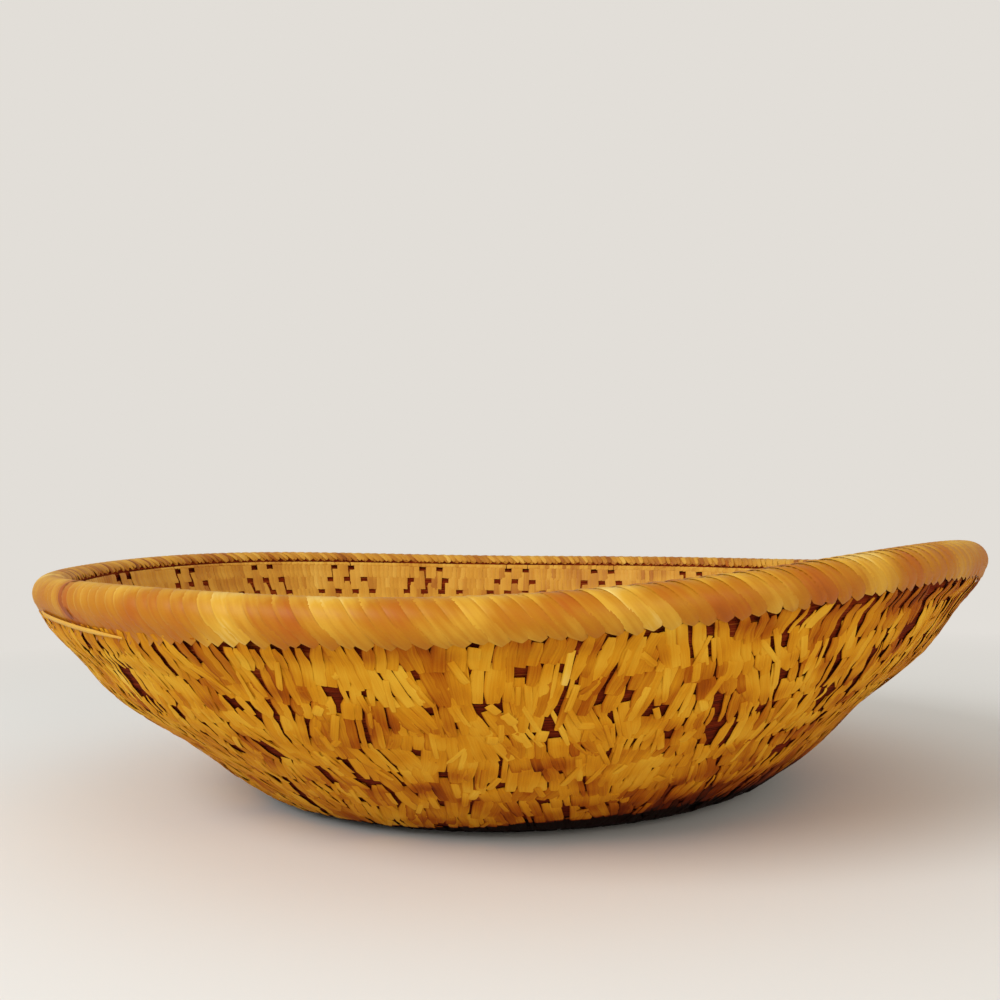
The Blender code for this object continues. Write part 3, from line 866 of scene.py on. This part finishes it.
def make_outside_stitches():
    draw = np.random.default_rng(23)
    turn = turns_every(OUTSIDE_PITCH, -BASE_TURNS, WALL_TURNS + 1)
    turn = turn[coil_arc(turn) < RIM_ARC - TOP_ROW_END - 1.5 * MM]
    plan = stitch_plan(draw, turn)
    at_side = ease(np.abs(np.sin(np.radians(coil_azimuth(turn[plan[:, 0].astype(int)])))) / 0.7)
    plan = plan[draw.random(len(plan)) > np.interp(at_side, (0, 1), MISSING_SHARE)]
    index, tall, patch_lean, fan, shade = plan.T
    turn = turn[index.astype(int)] + draw.normal(0, 0.1, len(plan)) * OUTSIDE_PITCH / (math.tau * BASE_RADIUS)
    arc = coil_arc(turn)
    count = len(turn)
    to_right = np.sin(np.radians(coil_azimuth(turn)))
    ragged = 0.46 + 0.44 * ease(np.abs(to_right) / 0.7) + 0.2 * np.maximum(to_right, 0)
    is_top = arc + WALL_PITCH > RIM_ARC - TOP_ROW_END - 1.5 * MM
    low = -(1.02 - 0.46 * ragged * draw.random(count) + tall) * WALL_PITCH
    high = (0.56 - 0.4 * ragged * draw.random(count)) * WALL_PITCH
    cut_short = draw.uniform(*CUT_SHORT, count) * (draw.random(count) < 0.24 + 0.2 * to_right)
    top_end = RIM_ARC - TOP_ROW_END - RIGHT_TOP_ROW_LOWER * np.maximum(to_right, 0) - cut_short
    high = np.where(is_top, np.maximum(top_end - arc, 0.05 * WALL_PITCH), high)
    share = np.linspace(0, 1, SHORT_STATIONS)
    up = low[:, None] + (high - low)[:, None] * share
    slim = draw.random(count) < SLIM_SHARE
    half = np.where(slim, draw.uniform(0.4, 0.75, count), draw.uniform(1.08, 1.3, count))
    half = OUTSIDE_PITCH / 2 * (half - 0.06 * np.maximum(to_right, 0))[:, None]
    top_pinch = (1 - np.maximum(0.86 * ragged, 0.65 * is_top) * draw.random(count))[:, None]
    low_pinch = 1 - 0.86 * ragged[:, None] * draw.random((count, 1))
    outline = np.minimum(top_pinch + (1 - top_pinch) * (1 - share) / 0.34, 1)
    outline = np.minimum(outline, low_pinch + (1 - low_pinch) * share / 0.3)
    cut = np.clip(draw.uniform(-1.3, 1.3, (count, 1)), -1, 1) * (1 - outline) * half
    leaning = swing(coil_azimuth(turn), arc) + 8 * patch_lean + 1.5 * fan + draw.normal(0, 1.6, count)
    place = arc[:, None] + up
    middle_up = up - up.mean(axis=1, keepdims=True)
    sideways = np.tan(np.radians(leaning))[:, None] * middle_up + cut
    azimuth = coil_azimuth(turn)[:, None] + degrees_for(sideways, place)
    lift = np.interp(share, (0, 0.1, 0.4, 0.8, 1), (0.06, 0.2, 0.12, 0, -0.2)) * MM
    flatter = 0.35 + 0.65 * ease(place / FOOT_ZONE)
    out = outside_skin(azimuth, place, up) + (lift + draw.normal(0, 0.03, (count, 1)) * MM) * flatter
    middle = on_bowl(azimuth, place, out)
    face = bowl_face(azimuth, place)
    soundness = worn(azimuth, place)
    whole = np.flatnonzero(soundness.min(axis=1) > OPEN_BELOW)
    sound = 0.2 + 0.8 * soundness
    width = half * outline * sound * bowl_radius(place) / bowl_radius(arc)[:, None]
    tone = 0.485 + 0.05 * shade[:, None] + draw.normal(0, 0.045, (count, 1))
    # Tone falls towards the right: painted shade on the side away from the key lamp.
    tone = painted_foot_shadow(azimuth, place, tone - 0.04 * to_right[:, None] - redder_straw_and_painted_shade(azimuth, place))
    for number, part in enumerate(np.array_split(whole, 3)):
        made = lay_bars(
            f"outside_stitches_{number + 1}",
            middle[part],
            face[part],
            width[part],
            0.1 * MM,
            tilt=draw.normal(0, 0.025, len(part)),
            tone=tone[part],
        )
        keep_above_floor(made)
        finish_piece(made, SPLINT_FINISH, "sewing_strip", *STRIP_NODES)


make_outside_stitches()

# %% [markdown]
# Over the stitches lie the tails that the maker clipped: long narrow ones that follow the wall,
# and short broad chips that point any way. They catch the light, so they are paler.

# %% Clipped tails and chips
TAIL_COUNT = 560
CHIP_COUNT = 120


def scatter(draw, count, low_turn, high_turn):
    """Places spread evenly over the wall: more where a round is longer."""
    turn = draw.uniform(low_turn, high_turn, count * 3)
    chance = bowl_radius(coil_arc(turn)) / RIM_MIDDLE_RADIUS
    turn = turn[draw.random(len(turn)) < chance][:count]
    return coil_arc(turn), coil_azimuth(turn) + draw.uniform(0, FULL_TURN, len(turn))


def make_clipped(name, draw, count, lengths, halves, lean_spread, tone, lift_height):
    arc, azimuth = scatter(draw, count, 0.8, WALL_TURNS - 0.6)
    count = len(arc)
    share = np.linspace(0, 1, SHORT_STATIONS)
    length = draw.uniform(*lengths, count)
    lean = np.radians(swing(azimuth, arc) + draw.normal(0, lean_spread, count))
    reach = length[:, None] * (share - 0.5)
    place = np.minimum(arc[:, None] + reach * np.cos(lean)[:, None], RIM_ARC - 3.5 * MM)
    azimuth = azimuth[:, None] + degrees_for(reach * np.sin(lean)[:, None], place)
    lift = np.interp(share, (0, 0.12, 0.88, 1), (0.05, 1, 0.9, 0.1)) * lift_height
    out = outside_skin(azimuth, place, 0) + lift + draw.normal(0, 0.04, (count, 1)) * MM
    middle = on_bowl(azimuth, place, out)
    face = bowl_face(azimuth, place)
    half = draw.uniform(*halves, (count, 1))
    outline = np.minimum(1, draw.uniform(0.5, 1, (count, 1)) + share * 3)
    shade = draw.normal(tone, 0.045, (count, 1)) - redder_straw_and_painted_shade(azimuth, place)
    shade = painted_foot_shadow(azimuth, place, shade)
    kept = np.flatnonzero(worn(azimuth, place).min(axis=1) > 0.9)
    made = lay_bars(
        name,
        middle[kept],
        face[kept],
        (half * outline)[kept],
        0.1 * MM,
        tilt=draw.normal(0, 0.05, len(kept)),
        tone=shade[kept],
    )
    keep_above_floor(made)
    finish_piece(made, SPLINT_FINISH, "sewing_strip")


clip_draw = np.random.default_rng(31)
make_clipped("long_tails", clip_draw, TAIL_COUNT, (6 * MM, 12 * MM), (0.55 * MM, 1.1 * MM), 13, 0.54, 0.2 * MM)
make_clipped("cross_chips", clip_draw, CHIP_COUNT, (3 * MM, 6 * MM), (0.8 * MM, 1.5 * MM), 38, 0.57, 0.18 * MM)

# %% [markdown]
# The rim coil is wrapped with smooth splints, side by side. Each starts under the rim on the
# outside, slants over the top and tucks into a groove on the inside, a little below the crest.
# Each is a little rounded and lies with its left edge just over its neighbour, like tiles,
# so the seams are faint.
# The pinched lower ends leave dark notches, deepest on the right. At the left they run
# a little further down the wall. A painted highlight makes the crest paler.

# %% Rim wraps
WRAP_PITCH = 4.1 * MM
WRAP_HALF_WIDTH = 2.4 * MM
WRAP_TILT = 0.042
WRAP_THICKNESS = 0.3 * MM
WRAP_TIP_THICKNESS = 0.4
WRAP_STRAIGHT_OUT_DEG = SHOULDER_SLOPE_DEG - 90
WRAP_END_DEG = 155
WRAP_DROP = 3.2 * MM
WRAP_SLANT = 0.75
WRAP_SKIN = 0.34 * MM
WRAP_LOW_STATIONS = 6
WRAP_ROUND_STATIONS = 15
WRAP_DROOP = WRAP_SLANT**2 / (1 + WRAP_SLANT**2) / RIM_THICKNESS
NOTCH_SHARE = 0.72
COLLAR_DROP = 2.2 * MM
COLLAR_FADES = (-72, -62, -44, -28)
CREST_DEG = 80
CREST_REACH_DEG = 26
CREST_HIGHLIGHT = 0.17
TICK_PITCH = 2.3 * MM
TICK_START_DEG = 98
TICK_END_DEG = 156
TICK_SLANT = 0.7
TICK_SKIN = 0.18 * MM
RIM_FULLER_AZIMUTH = -34
RIM_FULLER_REACH = 26
RIM_FULLER = 1.2 * MM

# Paler and more orange lengths of binding, and one painted shade: azimuth, reach in degrees, and how much the
# tone changes
RIM_PATCHES = (
    (9.5, 2.2, 0.28),
    (-26, 2.5, 0.12),
    (-15, 2.0, 0.06),
    (-20.5, 2.0, -0.14),
    (5.0, 1.6, -0.1),
    (17, 2.6, -0.16),
    (27, 3.5, -0.2),
    (40, 3.0, -0.1),
    # Painted shade of the fold beside the finished-off seam.
    (-50, 1.6, -0.16),
)


def fuller_rim(azimuth, angle):
    """The binding is a little thicker on top at the front left."""
    fall = np.exp(-(((azimuth - RIM_FULLER_AZIMUTH + 180) % FULL_TURN - 180) / RIM_FULLER_REACH) ** 2)
    return RIM_FULLER * fall * np.clip(np.sin(np.radians(angle)), 0, 1)


def outer_cover(azimuth, arc):
    """The outermost of the wall's skin and the rim."""
    from_rim = np.clip(arc - RIM_ARC, -RIM_RADIUS, RIM_RADIUS)
    return np.maximum(outside_skin(azimuth, arc, 0), np.sqrt(RIM_RADIUS**2 - from_rim**2))


def make_rim_wraps():
    draw = np.random.default_rng(47)
    count = round(math.tau * RIM_MIDDLE_RADIUS / WRAP_PITCH)
    low_share = np.arange(WRAP_LOW_STATIONS) / WRAP_LOW_STATIONS
    round_share = np.linspace(0, 1, WRAP_ROUND_STATIONS)
    place = np.arange(count) + draw.normal(0, 0.06, count)
    middle_azimuth = (FULL_TURN * place / count + 180) % FULL_TURN - 180
    at_collar = np.interp(middle_azimuth, COLLAR_FADES, (0, 1, 1, 0))[:, None]
    to_right = np.sin(np.radians(middle_azimuth))[:, None]
    drop = WRAP_DROP - 0.4 * MM * to_right + COLLAR_DROP * at_collar + draw.normal(0, 0.4, (count, 1)) * MM
    angle = WRAP_STRAIGHT_OUT_DEG + (WRAP_END_DEG - WRAP_STRAIGHT_OUT_DEG) * round_share
    travel = np.radians(angle - 45) * RIM_RADIUS
    fall = -drop * (1 - low_share)
    travel = np.concatenate((fall + travel[0], np.broadcast_to(travel, (count, len(angle)))), axis=1)
    slant = WRAP_SLANT + draw.normal(0, 0.015, (count, 1))
    azimuth = middle_azimuth[:, None] - degrees_for(travel * slant, RIM_ARC)
    low_azimuth, round_azimuth = azimuth[:, :WRAP_LOW_STATIONS], azimuth[:, WRAP_LOW_STATIONS:]
    arc = RIM_ARC + fall
    on_rim = np.sqrt(RIM_RADIUS**2 - np.minimum(-fall, RIM_RADIUS) ** 2) - WRAP_SKIN
    on_wall = outside_skin(low_azimuth, arc, 0) + np.interp(low_share, (0, 0.3), (-0.07, 0.08)) * MM
    low_middle = on_bowl(low_azimuth, arc, on_wall + (on_rim - on_wall) * low_share)
    tuck = np.interp(round_share, (0.9, 1), (0, -0.5)) * MM
    distance = RIM_RADIUS - WRAP_SKIN + tuck + fuller_rim(round_azimuth, angle)
    middle = np.concatenate((low_middle, rim_point(round_azimuth, angle, distance)), axis=1)
    round_face = unit(rim_point(round_azimuth, angle, RIM_RADIUS) - rim_point(round_azimuth, angle, 0))
    face = np.concatenate((bowl_face(low_azimuth, arc), round_face), axis=1)
    tip = 1 - (0.62 + 0.3 * to_right) * draw.uniform(0.5, 1.05, (count, 1))
    low_outline = np.minimum(tip + (1 - tip) * low_share / NOTCH_SHARE, 1)
    round_outline = np.interp(round_share, (0, 0.85, 1), (1, 0.95, 0.6)) * np.ones((count, 1))
    half = WRAP_HALF_WIDTH + draw.normal(0, 0.05, (count, 1)) * MM
    hugging = np.concatenate((0.4 + 0.6 * low_share, np.ones(len(angle))))
    tip_crown = WRAP_TIP_THICKNESS + (1 - WRAP_TIP_THICKNESS) * low_share
    crown = np.concatenate((tip_crown, np.ones(len(angle))))
    tone = draw.normal(0.5, 0.02, count)
    for patch_azimuth, reach, change in RIM_PATCHES:
        turned = (middle_azimuth - patch_azimuth + 180) % FULL_TURN - 180
        tone = tone + change * np.exp(-((turned / reach) ** 2))
    # A painted highlight along the crest.
    crest_highlight = np.exp(-(((angle - CREST_DEG) / CREST_REACH_DEG) ** 2)) * CREST_HIGHLIGHT
    made = lay_bars(
        "rim_wraps",
        middle,
        face,
        half * np.concatenate((low_outline, round_outline), axis=1),
        WRAP_THICKNESS * crown,
        tilt=draw.normal(WRAP_TILT, 0.002, count),
        tone=tone[:, None] + np.concatenate((np.zeros(WRAP_LOW_STATIONS), crest_highlight)),
        droop=WRAP_DROOP * hugging,
    )
    finish_piece(made, RIM_FINISH, "rim_binding", "rim_binding")


def make_rim_ticks():
    """Finer stitches lie side by side from the crest of the rim down to the groove inside it."""
    draw = np.random.default_rng(53)
    count = round(math.tau * RIM_MIDDLE_RADIUS / TICK_PITCH)
    share = np.linspace(0, 1, SHORT_STATIONS)
    end = TICK_END_DEG + draw.normal(0, 2.5, count)
    angle = TICK_START_DEG + (end - TICK_START_DEG)[:, None] * share
    middle_azimuth = FULL_TURN * (np.arange(count) + draw.normal(0, 0.1, count)) / count
    travel = np.radians(angle - TICK_START_DEG) * RIM_RADIUS
    slant = TICK_SLANT + draw.normal(0, 0.08, count)
    azimuth = middle_azimuth[:, None] - degrees_for(travel * slant[:, None], RIM_ARC)
    tuck = np.interp(share, (0, 0.3, 0.9, 1), (-0.3, 0.12, 0.15, -0.1)) * MM
    noise = draw.normal(0, 0.04, (count, 1)) * MM
    distance = RIM_RADIUS - TICK_SKIN + tuck + noise + fuller_rim(azimuth, angle)
    middle = rim_point(azimuth, angle, distance)
    face = unit(rim_point(azimuth, angle, RIM_RADIUS) - rim_point(azimuth, angle, 0))
    half = draw.normal(1.12, 0.1, (count, 1)) * MM
    made = lay_bars(
        "rim_ticks",
        middle,
        face,
        half * np.interp(share, (0, 0.15, 0.85, 1), (0.5, 1, 0.85, 0.5)),
        0.2 * MM,
        tilt=draw.normal(0.05, 0.03, count),
        tone=draw.normal(0.44, 0.08, (count, 1)),
        droop=TICK_SLANT**2 / (1 + TICK_SLANT**2) / RIM_THICKNESS,
    )
    finish_piece(made, NEAT_FINISH, "rim_binding")


make_rim_wraps()
make_rim_ticks()

# %% [markdown]
# At the left end the binding was finished off: a seam crosses the rim, darkened by a thin sheet of painted
# fold shadow, and beside it one strand has come loose and lies over the wall.

# %% The finished-off end
# The loose strand's places: azimuth and distance below the middle of the rim
STRAND_PLACES = ((-58.5, 1.2 * MM), (-55, 1.7 * MM), (-50, 2.5 * MM), (-45, 3.3 * MM), (-39, 4.4 * MM))
STRAND_HALF_WIDTH = 0.85 * MM
SEAM_HALF_WIDTH = 0.95 * MM
SEAM_ANGLES = (-60, -43, 18, 60, 100)
SEAM_AZIMUTHS = (-46.8, -47.5, -50, -51, -50.4)


def make_loose_strand():
    share = np.linspace(0, 1, LONG_STATIONS * 2)
    given_azimuth, below = np.array(STRAND_PLACES).T
    given = np.linspace(0, 1, len(STRAND_PLACES))
    azimuth = np.interp(share, given, given_azimuth)[None]
    arc = RIM_ARC - np.interp(share, given, below)[None]
    out = outer_cover(azimuth, arc) + np.interp(share, (0, 0.15, 0.75, 1), (-0.1, 0.3, 0.4, 0)) * MM
    width = STRAND_HALF_WIDTH * np.interp(share, (0, 0.1, 0.8, 1), (0.4, 1, 0.9, 0.3))
    middle = on_bowl(azimuth, arc, out)
    strand = lay_bars("loose_strand", middle, bowl_face(azimuth, arc), width[None], 0.3 * MM, tone=0.64)
    finish_piece(strand, NEAT_FINISH, "rim_binding")
    angle = np.linspace(SEAM_ANGLES[-1], SEAM_ANGLES[0], LONG_STATIONS * 2)[None]
    azimuth = np.interp(angle, SEAM_ANGLES, SEAM_AZIMUTHS)
    distance = RIM_RADIUS + fuller_rim(azimuth, angle) - 0.03 * MM
    face = unit(rim_point(azimuth, angle, RIM_RADIUS) - rim_point(azimuth, angle, 0))
    width = SEAM_HALF_WIDTH * np.interp(share, (0, 0.2, 0.8, 1), (0.4, 1, 1.2, 0.5))
    # The seam is a thin dark sheet laid on the wraps: painted shadow of the fold there.
    seam_shadow = lay_bars("rim_seam", rim_point(azimuth, angle, distance), face, width[None], 0.06 * MM, tone=0.14)
    finish_piece(seam_shadow, RIM_FINISH, "rim_binding")


make_loose_strand()

# %% [markdown]
# The basket stands on a plain pale floor that fades into a plain backdrop.
# The light is soft: a broad lamp in front and to the left, a weak one on the right,
# and an even sky. Rays that go straight to the camera see a pale background.

# %% Floor and light
FLOOR_COLOUR = srgb(227, 227, 225)
FADE_START = 0.25
FADE_END = 0.6
BACKGROUND_COLOUR = srgb(226, 222, 216)


def make_floor():
    shape = bmesh.new()
    bmesh.ops.create_grid(shape, x_segments=1, y_segments=1, size=3)
    mesh = bpy.data.meshes.new("floor")
    shape.to_mesh(mesh)
    shape.free()
    floor = bpy.data.objects.new("floor", mesh)
    bpy.context.scene.collection.objects.link(floor)
    material = bpy.data.materials.new("floor")
    material.use_nodes = True
    nodes = Nodes(material.node_tree)
    shader = material.node_tree.nodes["Principled BSDF"]
    shader.inputs["Base Color"].default_value = FLOOR_COLOUR
    shader.inputs["Roughness"].default_value = 0.9
    shader.inputs["Specular IOR Level"].default_value = 0.1
    place = nodes.add("TexCoord", output="Object")
    distance = nodes.add("VectorMath", {"operation": "LENGTH"}, {0: place}, output="Value")
    far = nodes.add("MapRange", inputs={0: distance, 1: FADE_START, 2: FADE_END, 3: 0.0, 4: 1.0})
    seen = nodes.add("LightPath", output="Is Camera Ray")
    plain = nodes.add("Emission", inputs={"Color": BACKGROUND_COLOUR, "Strength": 1})
    lit = Wire(nodes, shader.outputs[0])
    mixed = nodes.add("MixShader", inputs={0: far * seen, 1: lit, 2: plain})
    nodes.feed(material.node_tree.nodes["Material Output"].inputs["Surface"], mixed)
    mesh.materials.append(material)


def make_lamp(name, place, size, power, colour=(1, 1, 1)):
    data = bpy.data.lights.new(name, "AREA")
    data.shape = "DISK"
    data.size = size
    data.energy = power
    data.color = colour
    lamp = bpy.data.objects.new(name, data)
    lamp.location = place
    lamp.rotation_euler = (Vector((0, 0, 0.03)) - Vector(place)).to_track_quat("-Z", "Y").to_euler()
    bpy.context.scene.collection.objects.link(lamp)


def make_sky():
    world = bpy.data.worlds.new("sky")
    bpy.context.scene.world = world
    world.use_nodes = True
    nodes = Nodes(world.node_tree)
    world.node_tree.nodes.remove(world.node_tree.nodes["Background"])
    light = nodes.add("Background", inputs={"Color": (1, 0.96, 0.9, 1), "Strength": 0.65})
    shown = nodes.add("Background", inputs={"Color": BACKGROUND_COLOUR, "Strength": 1})
    seen = nodes.add("LightPath", output="Is Camera Ray")
    mixed = nodes.add("MixShader", inputs={0: seen, 1: light, 2: shown})
    nodes.feed(world.node_tree.nodes["World Output"].inputs["Surface"], mixed)


make_floor()
make_lamp("key_lamp", (-0.75, -0.7, 0.75), 0.7, 9.3, (0.95, 0.98, 1))
make_lamp("fill_lamp", (0.6, -0.9, 0.35), 0.7, 3.1, (1, 0.9, 0.77))
make_sky()
bpy.context.scene.view_settings.view_transform = "Standard"
